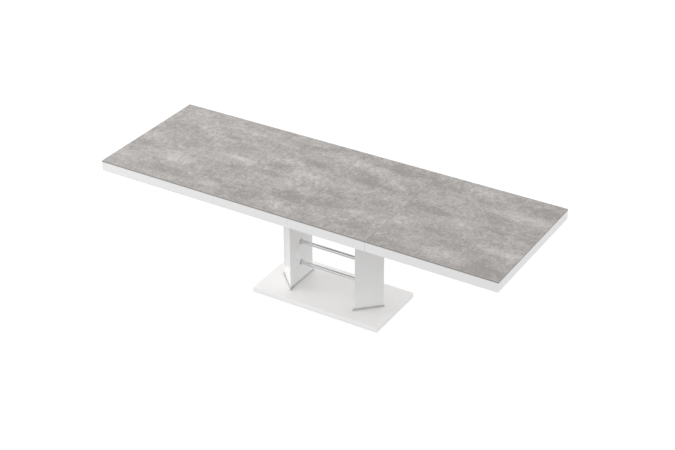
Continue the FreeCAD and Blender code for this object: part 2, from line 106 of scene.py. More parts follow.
class Recipe:
    """A material under construction, with short methods for the nodes that the finishes share."""

    def __init__(self, name: str, roughness: float, metallic: float = 0.0) -> None:
        """Start a material with only its shader.

        Args:
            name: the material's name.
            roughness, metallic: constants for the shader, until something is linked over them.
        """
        self.material = bpy.data.materials.new(name)
        self.material.use_nodes = True
        self.tree = self.material.node_tree
        self.shader = self.tree.nodes["Principled BSDF"]
        self.shader.inputs["Roughness"].default_value = roughness
        self.shader.inputs["Metallic"].default_value = metallic

    def node(self, kind: str, **options: object) -> bpy.types.Node:
        """Add a node and set its options.

        Args:
            kind: the node's type, without its ShaderNode prefix.
            options: attributes of the node.

        Returns:
            The new node.
        """
        made = self.tree.nodes.new(f"ShaderNode{kind}")
        for key, value in options.items():
            setattr(made, key, value)
        return made

    def feed(self, target: bpy.types.NodeSocket, value: object) -> None:
        """Link a socket to a target, or set the target to a constant.

        Args:
            target: the input socket.
            value: an output socket to link, or a constant.
        """
        if isinstance(value, bpy.types.NodeSocket):
            self.tree.links.new(value, target)
        else:
            target.default_value = value

    def place(self, scale: tuple[float, float, float] = (1.0, 1.0, 1.0),
              shift: tuple[float, float, float] = (0.0, 0.0, 0.0)) -> bpy.types.NodeSocket:
        """Object coordinates, scaled and shifted.

        Args:
            scale: factor on each axis.
            shift: added after scaling, so that each panel reads its own part of a noise.

        Returns:
            The vector.
        """
        source = self.node("TexCoord")
        mapping = self.node("Mapping")
        self.feed(mapping.inputs["Vector"], source.outputs["Object"])
        mapping.inputs["Scale"].default_value = scale
        mapping.inputs["Location"].default_value = shift
        return mapping.outputs["Vector"]

    def noise(self, where: bpy.types.NodeSocket, scale: float, detail: float = 3.0, roughness: float = 0.5,
              distortion: float = 0.0) -> bpy.types.NodeSocket:
        """Fractal noise at a place.

        Args:
            where: the vector to read it at.
            scale: cells per unit of that vector.
            detail, roughness: how many octaves, and how strong each is beside the one before.
            distortion: how far the noise is bent by itself.

        Returns:
            A value around 0.5, mostly between 0.3 and 0.7.
        """
        made = self.node("TexNoise")
        self.feed(made.inputs["Vector"], where)
        made.inputs["Scale"].default_value = scale
        made.inputs["Detail"].default_value = detail
        made.inputs["Roughness"].default_value = roughness
        made.inputs["Distortion"].default_value = distortion
        return made.outputs["Fac"]

    def span(self, value: bpy.types.NodeSocket, low: float, high: float, to_low: float = 0.0,
             to_high: float = 1.0, smooth: bool = True) -> bpy.types.NodeSocket:
        """Stretch low..high of a value to to_low..to_high, clamped.

        Args:
            value: the value to stretch.
            low, high: the part of its range that counts.
            to_low, to_high: what the ends of that part become.
            smooth: ease both ends, where otherwise the line between them is straight.

        Returns:
            The stretched value.
        """
        made = self.node("MapRange", interpolation_type="SMOOTHSTEP" if smooth else "LINEAR")
        ends = {"From Min": low, "From Max": high, "To Min": to_low, "To Max": to_high}
        for name, number in ends.items():
            made.inputs[name].default_value = number
        self.feed(made.inputs["Value"], value)
        return made.outputs["Result"]

    def calc(self, operation: str, first: object, second: object) -> bpy.types.NodeSocket:
        """One arithmetic step, such as ADD, MULTIPLY or FRACT.

        Args:
            operation: the step's name.
            first, second: sockets or numbers; a step of one number ignores the second.

        Returns:
            The result.
        """
        made = self.node("Math", operation=operation)
        self.feed(made.inputs[0], first)
        self.feed(made.inputs[1], second)
        return made.outputs["Value"]

    def ramp(self, value: bpy.types.NodeSocket,
             stops: list[tuple[float, tuple[float, float, float, float]]]) -> bpy.types.NodeSocket:
        """Colour by value.

        Args:
            value: where on the ramp to read.
            stops: (place, colour) pairs in order of place.

        Returns:
            The colour.
        """
        made = self.node("ValToRGB")
        elements = made.color_ramp.elements
        for element, (place, colour) in zip(elements, (stops[0], stops[-1])):
            element.position = place
            element.color = colour
        for place, colour in stops[1:-1]:
            elements.new(place).color = colour
        self.feed(made.inputs["Fac"], value)
        return made.outputs["Color"]

    def blend(self, amount: object, first: object, second: object) -> bpy.types.NodeSocket:
        """Mix two colours.

        Args:
            amount: share of the second colour, from 0 to 1.
            first, second: colours or sockets.

        Returns:
            The mixed colour.
        """
        made = self.node("Mix", data_type="RGBA")
        self.feed(made.inputs["Factor"], amount)
        self.feed(made.inputs[6], first)
        self.feed(made.inputs[7], second)
        return made.outputs[2]

    def relief(self, height: bpy.types.NodeSocket, depth: float, strength: float = 1.0) -> None:
        """Bump the surface.

        Args:
            height: the height, from 0 to 1.
            depth: what a height of 1 stands for, in metres.
            strength: share of the bump that shows.
        """
        made = self.node("Bump")
        made.inputs["Distance"].default_value = depth
        made.inputs["Strength"].default_value = strength
        self.feed(made.inputs["Height"], height)
        self.feed(self.shader.inputs["Normal"], made.outputs["Normal"])

    def colour(self, value: object) -> None:
        """Set or link the base colour."""
        self.feed(self.shader.inputs["Base Color"], value)

    def roughness(self, value: bpy.types.NodeSocket) -> None:
        """Link the roughness."""
        self.feed(self.shader.inputs["Roughness"], value)


# ---------------------------------------------------------------- finishes

CLOUD_STRENGTH = 0.72
# How far in from the outer edge the painted shade on the slab's edge faces reaches.
PAINTED_EDGE_SHADE_DEPTH = 0.00025


@dataclass(frozen=True)
class Cloud:
    """A soft lighter or darker place in the print: its middle and half sizes in metres, and its tone."""

    x: float
    y: float
    along: float
    across: float
    tone: float

    def add_to(self, mix: Recipe, where: bpy.types.NodeSocket,
               tone: bpy.types.NodeSocket) -> bpy.types.NodeSocket:
        """Add the cloud to a tone: full in its middle, gone outside 1.25 times its half sizes.

        Args:
            mix: the material.
            where: the place on the slab.
            tone: the tone so far.

        Returns:
            The tone with the cloud in it.
        """
        mapping = mix.node("Mapping")
        mix.feed(mapping.inputs["Vector"], where)
        mapping.inputs["Scale"].default_value = (1.0 / self.along, 1.0 / self.across, 0.0)
        mapping.inputs["Location"].default_value = (-self.x / self.along, -self.y / self.across, 0.0)
        reach = mix.node("VectorMath", operation="LENGTH")
        mix.feed(reach.inputs[0], mapping.outputs["Vector"])
        cloud = mix.span(reach.outputs["Value"], 0.15, 1.25, self.tone * CLOUD_STRENGTH, 0.0)
        return mix.calc("ADD", tone, cloud)


def scattered_clouds(seed: int, start: float, end: float, columns: int, rows: int = 5) -> tuple[Cloud, ...]:
    """Clouds over one panel, one in each cell of a grid.

    Each middle is its cell's middle pushed by up to 0.35 of the cell; the half sizes and the tone are
    drawn evenly between their limits, and light and dark take turns along every row.

    Args:
        seed: start of the random draws, so that every panel has its own print.
        start, end: the panel's ends along X, in metres.
        columns, rows: cells along and across the panel.

    Returns:
        The clouds, row by row from the front.
    """
    draws = np.random.default_rng(seed)
    front, back = CAD_BOX[0][1], CAD_BOX[1][1]
    row, column = (part.ravel() for part in np.mgrid[0:rows, 0:columns])
    push = draws.uniform(-0.35, 0.35, (2, row.size))
    x = start + (column + 0.5 + push[0]) * (end - start) / columns
    y = front + (row + 0.5 + push[1]) * (back - front) / rows
    along = draws.uniform(0.10, 0.28, row.size)
    across = draws.uniform(0.035, 0.08, row.size)
    tone = draws.uniform(0.16, 0.46, row.size) * np.where((row + column + seed) % 2, 1.0, -1.0)
    return tuple(Cloud(*map(float, values)) for values in zip(x, y, along, across, tone))


@dataclass(frozen=True)
class ConcreteDecor:
    """Pressed laminate with a trowelled concrete print, cut so that each panel shows its own part of it."""

    name: str
    shift: tuple[float, float, float]
    tone: float
    clouds: tuple[Cloud, ...]

    def build(self) -> bpy.types.Material:
        """Scattered clouds on lengthwise bands, faint lap lines, mottling, fine grain, sparse pores and
        painted shade on the outer edge faces.

        Returns:
            The finished material.
        """
        mix = Recipe(self.name, 0.5)
        even = mix.place(shift=self.shift)
        layers = (
            (mix.noise(mix.place((1.1, 4.2, 1.0), self.shift), 2.2, 4.0, 0.55, 0.2), 0.09),
            (mix.noise(mix.place((1.0, 1.5, 1.0), self.shift), 6.5, 6.0, 0.62, 0.1), 0.12),
            (mix.noise(even, 24.0, 5.0, 0.66), 0.24),
            (mix.noise(even, 62.0, 3.0, 0.6), 0.26),
            (mix.noise(even, 210.0, 2.0, 0.6), 0.20),
        )
        tone = mix.calc("ADD", self.laps(mix), 0.5 + self.tone)
        for layer, weight in layers:
            tone = mix.calc("ADD", tone, mix.span(layer, 0.3, 0.7, -weight, weight, False))
        warped = self.warped(mix)
        for cloud in self.clouds:
            tone = cloud.add_to(mix, warped, tone)
        colour = mix.ramp(tone, [(0.0, shade(143, 139, 136)), (0.5, shade(171, 167, 164)),
                                 (1.0, shade(198, 195, 192))])
        pores = self.pores(mix, even)
        printed = mix.blend(pores, colour, shade(128, 124, 121))
        # The outer edge faces are painted a darker grey: painted shade that stands in for the shade on them.
        mix.colour(mix.blend(self.painted_edge_shade(mix), printed, shade(150, 147, 144)))
        mix.roughness(mix.span(layers[2][0], 0.3, 0.7, 0.5, 0.64, False))
        height = mix.calc("SUBTRACT", mix.calc("ADD", layers[2][0], layers[4][0]), pores)
        mix.relief(height, 0.00025, 0.5)
        mix.shader.inputs["Specular IOR Level"].default_value = 0.35
        return mix.material

    def warped(self, mix: Recipe) -> bpy.types.NodeSocket:
        """The place on the slab, pushed about by a slow noise, so that clouds have ragged outlines.

        Args:
            mix: the material.

        Returns:
            The pushed place.
        """
        place = mix.place()
        slow = mix.node("TexNoise")
        mix.feed(slow.inputs["Vector"], place)
        slow.inputs["Scale"].default_value = 11.0
        slow.inputs["Detail"].default_value = 4.0
        push = mix.node("VectorMath", operation="SUBTRACT")
        mix.feed(push.inputs[0], slow.outputs["Color"])
        push.inputs[1].default_value = (0.5, 0.5, 0.5)
        scaled = mix.node("VectorMath", operation="MULTIPLY")
        mix.feed(scaled.inputs[0], push.outputs[0])
        scaled.inputs[1].default_value = (0.16, 0.075, 0.0)
        total = mix.node("VectorMath", operation="ADD")
        mix.feed(total.inputs[0], place)
        mix.feed(total.inputs[1], scaled.outputs[0])
        return total.outputs[0]

    def painted_edge_shade(self, mix: Recipe) -> bpy.types.NodeSocket:
        """Painted shade on the slab's edge: the upright faces within 0.25 mm of the front, the back and both
        ends, painted darker to stand in for the shade that falls on them.

        Args:
            mix: the material.

        Returns:
            1 on the painted shade band and 0 elsewhere.
        """
        parts = mix.node("SeparateXYZ")
        mix.feed(parts.inputs[0], mix.place())
        marks = []
        for axis, limit in zip(("X", "Y"), CAD_BOX[1]):
            reach = mix.calc("ABSOLUTE", parts.outputs[axis], 0.0)
            marks.append(mix.calc("GREATER_THAN", reach, limit - PAINTED_EDGE_SHADE_DEPTH))
        return mix.calc("MAXIMUM", *marks)

    def laps(self, mix: Recipe) -> bpy.types.NodeSocket:
        """Trowel laps: a saw-tooth across Y with a wavering phase, dark at its edge and fading to one side.

        Args:
            mix: the material.

        Returns:
            A tone from -0.2 to 0, fading in and out along the panel.
        """
        parts = mix.node("SeparateXYZ")
        mix.feed(parts.inputs[0], mix.place(shift=self.shift))
        waver = mix.noise(mix.place((1.0, 0.6, 1.0), self.shift), 1.2, 1.0, 0.4)
        pitch = mix.calc("MULTIPLY", parts.outputs["Y"], 4.3)
        saw = mix.calc("FRACT", mix.calc("ADD", pitch, mix.calc("MULTIPLY", waver, 1.1)), 0.0)
        edge = mix.calc("MULTIPLY", mix.span(saw, 0.0, 0.035), mix.span(saw, 0.0, 0.45, 1.0, 0.0))
        presence = mix.span(mix.noise(mix.place((1.0, 2.6, 1.0), self.shift), 2.6, 2.0), 0.5, 0.64)
        return mix.calc("MULTIPLY", mix.calc("MULTIPLY", edge, presence), -0.20)

    def pores(self, mix: Recipe, where: bpy.types.NodeSocket) -> bpy.types.NodeSocket:
        """Tiny round pores: cells whose centre is close, kept only where a slow noise is high.

        Args:
            mix: the material.
            where: the place on the slab.

        Returns:
            How much of the pores' colour shows, up to 0.55.
        """
        cells = mix.node("TexVoronoi")
        mix.feed(cells.inputs["Vector"], where)
        cells.inputs["Scale"].default_value = 130.0
        close = mix.span(cells.outputs["Distance"], 0.12, 0.2, 1.0, 0.0)
        kept = mix.span(mix.noise(where, 34.0, 2.0), 0.6, 0.68)
        return mix.calc("MULTIPLY", mix.calc("MULTIPLY", close, kept), 0.55)


@dataclass(frozen=True)
class GlossLacquer:
    """White polished lacquer on fibreboard, with a trace of orange peel and a clear coat."""

    name: str
    white: tuple[float, float, float, float] = field(default_factory=lambda: shade(240, 240, 240))
    roughness_low: float = 0.10
    roughness_high: float = 0.17
    coat: float = 0.35

    def build(self) -> bpy.types.Material:
        """Even white that drifts by a hair, a soft long wave in the polish and fine peel.

        Returns:
            The finished material.
        """
        mix = Recipe(self.name, 0.14)
        even = mix.place()
        drift = mix.noise(even, 3.0, 3.0)
        warmer = tuple(channel * 0.985 for channel in self.white[:3]) + (1.0,)
        mix.colour(mix.blend(drift, self.white, warmer))
        haze = mix.noise(even, 26.0, 4.0, 0.6)
        mix.roughness(mix.span(haze, 0.3, 0.7, self.roughness_low, self.roughness_high, False))
        peel = mix.noise(even, 260.0, 1.0)
        wave = mix.noise(even, 9.0, 1.0)
        mix.relief(mix.calc("ADD", peel, mix.calc("MULTIPLY", wave, 6.0)), 0.00001, 0.3)
        mix.shader.inputs["Coat Weight"].default_value = self.coat
        mix.shader.inputs["Coat Roughness"].default_value = 0.06
        return mix.material


@dataclass(frozen=True)
class DrawnMetal:
    """Metal with drawing or rolling marks along one axis."""

    name: str
    light: tuple[float, float, float, float]
    dark: tuple[float, float, float, float]
    grain: Grain = Grain.LENGTHWISE
    roughness_low: float = 0.29
    roughness_high: float = 0.42
    mark_depth: float = 0.00002

    def build(self) -> bpy.types.Material:
        """Hair-fine marks from noise stretched along the grain, over a slow cloud of tone.

        Returns:
            The finished material.
        """
        mix = Recipe(self.name, 0.28, 1.0)
        marks = mix.noise(mix.place(self.grain.stretch(6.0, 900.0)), 1.0, 4.0, 0.65)
        clouds = mix.noise(mix.place(), 14.0, 3.0)
        tone = mix.calc("ADD", mix.calc("MULTIPLY", marks, 0.7), mix.calc("MULTIPLY", clouds, 0.3))
        mix.colour(mix.ramp(tone, [(0.35, self.dark), (0.65, self.light)]))
        mix.roughness(mix.span(marks, 0.3, 0.7, self.roughness_low, self.roughness_high, False))
        mix.relief(marks, self.mark_depth, 0.6)
        mix.shader.inputs["Anisotropic"].default_value = 0.35
        return mix.material


@dataclass(frozen=True)
class ZincPlate:
    """Bright zinc with the faint spangle and haze of plated hardware."""

    name: str

    def build(self) -> bpy.types.Material:
        """Cell-like spangles of slightly different grey and gloss.

        Returns:
            The finished material.
        """
        mix = Recipe(self.name, 0.3, 1.0)
        where = mix.place()
        cells = mix.node("TexVoronoi")
        mix.feed(cells.inputs["Vector"], where)
        cells.inputs["Scale"].default_value = 260.0
        parts = mix.node("SeparateColor")
        mix.feed(parts.inputs[0], cells.outputs["Color"])
        haze = mix.noise(where, 60.0, 4.0)
        spangle = mix.calc("MULTIPLY", parts.outputs["Red"], 0.35)
        tone = mix.calc("ADD", spangle, mix.calc("MULTIPLY", haze, 0.65))
        mix.colour(mix.ramp(tone, [(0.2, shade(164, 167, 170)), (0.8, shade(206, 208, 208))]))
        mix.roughness(mix.span(tone, 0.2, 0.8, 0.29, 0.45, False))
        mix.relief(haze, 0.00003, 0.4)
        return mix.material


@dataclass(frozen=True)
class PlanedBeech:
    """Planed beech with its grain along one axis."""

    name: str
    grain: Grain

    def build(self) -> bpy.types.Material:
        """Long growth waves, short dark ray flecks and fine pores along the grain.

        Returns:
            The finished material.
        """
        mix = Recipe(self.name, 0.55)
        waves = mix.noise(mix.place(self.grain.stretch(2.2, 28.0)), 1.0, 4.0, 0.55, 0.8)
        fibres = mix.noise(mix.place(self.grain.stretch(20.0, 520.0)), 1.0, 3.0, 0.6)
        flecks = mix.span(mix.noise(mix.place(self.grain.stretch(70.0, 420.0)), 1.0, 1.0), 0.62, 0.7)
        tone = mix.calc("ADD", mix.calc("MULTIPLY", waves, 0.7), mix.calc("MULTIPLY", fibres, 0.3))
        colour = mix.ramp(tone, [(0.3, shade(176, 128, 86)), (0.52, shade(205, 160, 115)),
                                 (0.72, shade(223, 183, 140))])
        mix.colour(mix.blend(mix.calc("MULTIPLY", flecks, 0.5), colour, shade(142, 92, 58)))
        mix.roughness(mix.span(fibres, 0.3, 0.7, 0.48, 0.66, False))
        mix.relief(fibres, 0.00012, 0.5)
        return mix.material


@dataclass(frozen=True)
class MelamineBoard:
    """White melamine facing on the hidden side of the top, with the chipboard's faint telegraphing."""

    name: str

    def build(self) -> bpy.types.Material:
        """Off-white with a soft pearl texture and a slow, barely visible unevenness.

        Returns:
            The finished material.
        """
        mix = Recipe(self.name, 0.42)
        where = mix.place()
        pearl = mix.noise(where, 700.0, 2.0)
        slow = mix.noise(where, 8.0, 5.0, 0.65)
        mix.colour(mix.ramp(slow, [(0.3, shade(226, 225, 221)), (0.7, shade(236, 235, 232))]))
        mix.roughness(mix.span(slow, 0.3, 0.7, 0.36, 0.48, False))
        mix.relief(mix.calc("ADD", pearl, slow), 0.00006, 0.4)
        return mix.material


@dataclass(frozen=True)
class PowderCoat:
    """Fine-textured powder coat, moulded rubber or pressed felt, by colour and roughness."""

    name: str
    colour: tuple[float, float, float, float]
    roughness: float
    bumps_per_metre: float
    depth: float

    def build(self) -> bpy.types.Material:
        """Small even pimples with a slight drift of tone.

        Returns:
            The finished material.
        """
        mix = Recipe(self.name, self.roughness)
        where = mix.place()
        pimples = mix.noise(where, self.bumps_per_metre, 3.0, 0.6)
        lighter = tuple(min(channel * 1.5, 1.0) for channel in self.colour[:3]) + (1.0,)
        mix.colour(mix.blend(mix.span(pimples, 0.35, 0.75), self.colour, lighter))
        mix.roughness(mix.span(pimples, 0.3, 0.7, self.roughness - 0.06, self.roughness + 0.08, False))
        mix.relief(pimples, self.depth, 0.7)
        return mix.material


# ---------------------------------------------------------------- shells worked out with numpy

@dataclass
class Shell:
    """A closed surface: an array of points and a list of faces."""

    points: np.ndarray
    faces: list[tuple[int, ...]]

    def outward(self) -> "Shell":
        """Turn the faces so that the enclosed volume, the sum of signed tetrahedra, is positive.

        Returns:
            The shell with its faces pointing outwards.
        """
        total = 0.0
        for face in self.faces:
            corners = self.points[list(face)]
            crosses = np.cross(corners[1:-1], corners[2:])
            total += float((crosses @ corners[0]).sum())
        faces = self.faces if total > 0 else [face[::-1] for face in self.faces]
        return Shell(self.points, faces)


def ring_stack(rings: np.ndarray, closed_loop: bool = False) -> Shell:
    """Join a stack of rings into a closed shell.

    Args:
        rings: points as an array of (ring, point round the ring, xyz).
        closed_loop: join the last ring to the first, as on a hollow tube, and cap no ends.

    Returns:
        The shell, with quads between rings and one face over each open end.
    """
    count, round_count = rings.shape[:2]
    steps = count if closed_loop else count - 1
    first = np.arange(steps)[:, None] * round_count + np.arange(round_count)[None, :]
    beside = np.arange(steps)[:, None] * round_count + (np.arange(round_count)[None, :] + 1) % round_count
    above = round_count * (1 + np.arange(steps)[:, None])
    above = above % (count * round_count)
    over = above + np.arange(round_count)[None, :]
    over_beside = above + (np.arange(round_count)[None, :] + 1) % round_count
    quads = np.stack([first, beside, over_beside, over], axis=-1).reshape(-1, 4)
    faces = [tuple(quad) for quad in quads.tolist()]
    if not closed_loop:
        last = (count - 1) * round_count
        faces.append(tuple(range(round_count))[::-1])
        faces.append(tuple(range(last, last + round_count)))
    return Shell(rings.reshape(-1, 3), faces).outward()


def turned(profile: list[tuple[float, float]], axis: int, centre: tuple[float, float, float],
           segments: int = 72, closed_loop: bool = False) -> Shell:
    """Revolve a profile: at angle a a point is radius (cos a, sin a) off the axis and height along it.

    Args:
        profile: (radius, height) pairs.
        axis: 0, 1 or 2 for the axis X, Y or Z.
        centre: the point at radius 0 and height 0.
        segments: steps round the axis.
        closed_loop: join the profile's end to its start.

    Returns:
        The shell of revolution.
    """
    angles = np.linspace(0.0, math.tau, segments, endpoint=False)
    radius, height = np.array(profile).T
    points = np.zeros((len(profile), segments, 3))
    points[..., (axis + 1) % 3] = radius[:, None] * np.cos(angles)
    points[..., (axis + 2) % 3] = radius[:, None] * np.sin(angles)
    points[..., axis] = height[:, None]
    return ring_stack(points + np.array(centre), closed_loop)


def eased_disc(radius: float, low: float, high: float, ease: float,
               steps: int = 4) -> list[tuple[float, float]]:
    """Profile of a disc whose two rims are rounded by a quarter circle.

    Args:
        radius: the disc's radius.
        low, high: heights of its two faces.
        ease: radius of the quarter circles.
        steps: points on each of them.

    Returns:
        (radius, height) pairs from the lower face's rim to the upper's.
    """
    turn = np.linspace(0.0, math.pi / 2, steps)
    rim = radius - ease
    bottom = [(rim + ease * math.sin(a), low + ease - ease * math.cos(a)) for a in turn]
    top = [(rim + ease * math.cos(a), high - ease + ease * math.sin(a)) for a in turn]
    return bottom + top


def joined(shells: list[Shell]) -> Shell:
    """Several shells as one.

    Args:
        shells: the shells, which keep their places.

    Returns:
        All their points and faces, with the faces renumbered.
    """
    starts = np.cumsum([0] + [len(shell.points) for shell in shells])
    faces = [tuple(index + int(start) for index in face)
             for shell, start in zip(shells, starts) for face in shell.faces]
    return Shell(np.concatenate([shell.points for shell in shells]), faces)


def make_piece(name: str, shell: Shell, finish: bpy.types.Material, body: str,
               replaced: tuple[str, ...] = (), crease: float = 35.0) -> bpy.types.Object:
    """Put a shell into the scene as a dressed piece of the table.

    Args:
        name: the piece's name.
        shell: its surface, in place.
        finish: its material.
        body: the moving body that it rides on.
        replaced: frame nodes that it stands for.
        crease: edges sharper than this many degrees stay sharp, and the rest are shaded smooth.

    Returns:
        The new object.
    """
    mesh = bpy.data.meshes.new(name)
    mesh.from_pydata(shell.points.tolist(), [], shell.faces)
    mesh.materials.append(finish)
    mesh.shade_smooth()
    mesh.set_sharp_from_angle(angle=math.radians(crease))
    mesh.update()
    made = bpy.data.objects.new(name, mesh)
    bpy.context.scene.collection.objects.link(made)
    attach(made, body)
    if replaced:
        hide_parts(*replaced)
    LOG.info("piece %s: %d faces on %s", name, len(shell.faces), body)
    return made


def dress(node: str, finish: bpy.types.Material, ease: float = 0.0) -> None:
    """Give a frame node its finish and, if it has any, its rounded edges.

    Args:
        node: the node's name.
        finish: its material.
        ease: radius of the rounding in metres, or 0 for edges left as they are.
    """
    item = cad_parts[node]
    for holder in item.material_slots:
        holder.material = finish
    if ease:
        weld = item.modifiers.new("weld", "WELD")
        weld.merge_threshold = 1e-5
        bevel = item.modifiers.new("eased_edges", "BEVEL")
        bevel.width = ease
        bevel.segments = 3
        bevel.limit_method = "ANGLE"
        bevel.angle_limit = math.radians(50.0)
        item.modifiers.new("even_normals", "WEIGHTED_NORMAL").keep_sharp = True
    LOG.info("dressed %s", node)


def middle(node: str) -> np.ndarray:
    """The middle of a frame node's box."""
    low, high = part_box(node)
    return (np.array(low) + np.array(high)) / 2


# ---------------------------------------------------------------- the top

@dataclass
class TableTop:
    """The two halves and two leaves: decor slabs, lacquered aprons, carriers and what is screwed to them."""

    lacquer: bpy.types.Material
    beech: dict[Grain, bpy.types.Material]
    screw_zinc: bpy.types.Material
    slab_ease: float = 0.0004
    apron_ease: float = 0.0009
    screw_head_radius: float = 0.004
    screw_head_height: float = 0.0025
    recess_arm: float = 0.0024
    recess_slot: float = 0.0004
    recess_fade: float = 0.0005
    recess_drop: float = 0.0013
    tones: tuple[float, float, float, float] = (-0.135, -0.16, -0.185, -0.185)
    guide_width: float = 0.020
    guide_screw_inset: float = 0.050

    def slabs(self) -> None:
        """Each slab gets its own cut of the concrete decor, as four sheets from different boards do."""
        cuts = (
            ("left_half", 11, (3.1, 0.4, 0.0), 3, self.tones[0]),
            ("left_leaf", 24, (7.7, 2.3, 0.4), 2, self.tones[1]),
            ("right_leaf", 37, (12.4, 5.1, 0.9), 2, self.tones[2]),
            ("right_half", 52, (21.2, 9.6, 1.7), 3, self.tones[3]),
        )
        for prefix, seed, shift, columns, tone in cuts:
            low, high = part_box(f"{prefix}_slab")
            clouds = scattered_clouds(seed, low[0], high[0], columns)
            decor = ConcreteDecor(f"concrete_{prefix}", shift, tone, clouds)
            dress(f"{prefix}_slab", decor.build(), self.slab_ease)

    def aprons(self) -> None:
        """White aprons with eased edges, so that each seam shows as a fine line."""
        for name in [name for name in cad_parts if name.endswith("_apron")]:
            dress(name, self.lacquer, self.apron_ease)

    def undersides(self) -> None:
        """Carriers, battens, guides and corner blocks, all seen only from below."""
        board = MelamineBoard("melamine_underside").build()
        for prefix in ("left_half", "right_half", "left_leaf", "right_leaf"):
            dress(f"{prefix}_carrier", board)
        for prefix in ("left_half", "right_half"):
            dress(f"{prefix}_battens", self.beech[Grain.LENGTHWISE])
            dress(f"{prefix}_corner_blocks", self.beech[Grain.UPRIGHT], self.apron_ease)
        for prefix in ("left_leaf", "right_leaf"):
            dress(f"{prefix}_guides", self.beech[Grain.LENGTHWISE], self.apron_ease)

    def pan_head(self, spot: tuple[float, float, float], downward: bool = True) -> Shell:
        """A domed screw head with a cross recess.

        The head's height at radius r and angle a is a flat dome, height sqrt(1 - 0.55 (r / R)^2), less the
        recess: its drop times 1.6 - r |sin 2a| / (2 slot), held between 0 and 1, which gives four arms,
        and times a slope that fades out at the arms' ends.

        Args:
            spot: middle of the head's seat.
            downward: the head points down, as on the underside.

        Returns:
            The head as a closed shell.
        """
        radii = np.array([1.0, 0.98, 0.92, 0.8, 0.66, 0.55, 0.42, 0.28, 0.14, 0.04]) * self.screw_head_radius
        angles = np.linspace(0.0, math.tau, 48, endpoint=False)
        r, a = np.meshgrid(radii, angles, indexing="ij")
        dome = self.screw_head_height * np.sqrt(1.0 - 0.55 * (r / self.screw_head_radius) ** 2)
        across = r * np.abs(np.sin(2.0 * a)) / 2.0
        arm = np.clip(1.6 - across / self.recess_slot, 0.0, 1.0)
        fade = np.clip((self.recess_arm - r) / self.recess_fade, 0.0, 1.0)
        height = dome - self.recess_drop * arm * fade
        seat = np.zeros((1, len(angles), 3))
        seat[0, :, 0] = self.screw_head_radius * np.cos(angles)
        seat[0, :, 1] = self.screw_head_radius * np.sin(angles)
        top = np.stack([r * np.cos(a), r * np.sin(a), height], axis=-1)
        rings = np.concatenate([seat, top])
        if downward:
            rings[..., 2] *= -1.0
        return ring_stack(rings + np.array(spot))

    def batten_screws(self) -> None:
        """Detailed pan heads under the battens in place of the plain ones, with their shanks."""
        for prefix in ("left_half", "right_half"):
            low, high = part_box(f"{prefix}_batten_screws")
            seat = low[2] + self.screw_head_height
            inset = low[0] + self.screw_head_radius
            far = high[0] - self.screw_head_radius
            across = high[1] - self.screw_head_radius
            shells = []
            for x in (inset, (inset + far) / 2, far):
                for y in (-across, across):
                    shells.append(self.pan_head((x, y, seat)))
                    shank = eased_disc(self.screw_head_radius / 2, seat, high[2], 0.0002)
                    shells.append(turned(shank, 2, (x, y, 0.0), 32))
            make_piece(f"{prefix}_batten_screws_detailed", joined(shells), self.screw_zinc, prefix,
                       (f"{prefix}_batten_screws",))

    def guide_screws(self) -> None:
        """Two pan heads under each leaf's guide batten, clear of the cross rails."""
        for prefix in ("left_leaf", "right_leaf"):
            low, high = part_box(f"{prefix}_guides")
            across = high[1] - self.guide_width / 2
            shells = [self.pan_head((x, y, low[2]))
                      for x in (low[0] + self.guide_screw_inset, high[0] - self.guide_screw_inset)
                      for y in (-across, across)]
            make_piece(f"{prefix}_guide_screws", joined(shells), self.screw_zinc, prefix)

    def build(self) -> None:
        """Dress and detail the whole top."""
        self.slabs()
        self.aprons()
        self.undersides()
        self.batten_screws()
        self.guide_screws()


# ---------------------------------------------------------------- runners and subframe

@dataclass
class DrawGear:
    """Beams, rails and telescopic runners that carry the halves."""

    beech: dict[Grain, bpy.types.Material]
    runner_steel: bpy.types.Material
    rubber: bpy.types.Material
    ease: float = 0.0012
    stop_length: float = 0.008
    stop_depth: float = 0.0095
    stop_ease: float = 0.0012

    def timber(self) -> None:
        """Beams along the table, rails across it, and the dowels between them."""
        for name in ("front_beam", "back_beam"):
            dress(name, self.beech[Grain.LENGTHWISE], self.ease)
        for name in ("left_cross_rail", "right_cross_rail", "end_rails", "rail_dowels"):
            dress(name, self.beech[Grain.ACROSS])

    def runners(self) -> None:
        """All three members of every runner in bright rolled steel."""
        for side in SIDES:
            for member in ("fixed", "middle", "inner"):
                dress(f"{side}_{member}_runners", self.runner_steel)

    def end_stops(self) -> None:
        """Moulded stops that close the outer ends of the inner members."""
        for side, sign in SIDES.items():
            low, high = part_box(f"{side}_inner_runners")
            end = low[0] if sign < 0 else high[0]
            start, stop = sorted((end, end + sign * self.stop_length))
            shells = []
            for face, back in ((low[1], low[1] + self.stop_depth), (high[1] - self.stop_depth, high[1])):
                corners = np.array([[face, low[2]], [back, low[2]], [back, high[2]], [face, high[2]]])
                centre = corners.mean(axis=0)
                ease = self.stop_ease
                rings = []
                for x, inset in ((start, ease), (start + ease, 0.0), (stop - ease, 0.0), (stop, ease)):
                    shrink = 1.0 - inset / np.abs(corners - centre).min()
                    ring = centre + (corners - centre) * shrink
                    rings.append(np.column_stack([np.full(4, x), ring]))
                shells.append(ring_stack(np.array(rings)))
            make_piece(f"{side}_runner_stops", joined(shells), self.rubber, f"{side}_half")

    def build(self) -> None:
        """Dress the subframe and its runners."""
        self.timber()
        self.runners()
        self.end_stops()


# ---------------------------------------------------------------- the pedestal

PLATE_RING = np.array([(1, 0), (1, 1), (0, 1), (-1, 1), (-1, 0), (-1, -1), (0, -1), (1, -1)], float)


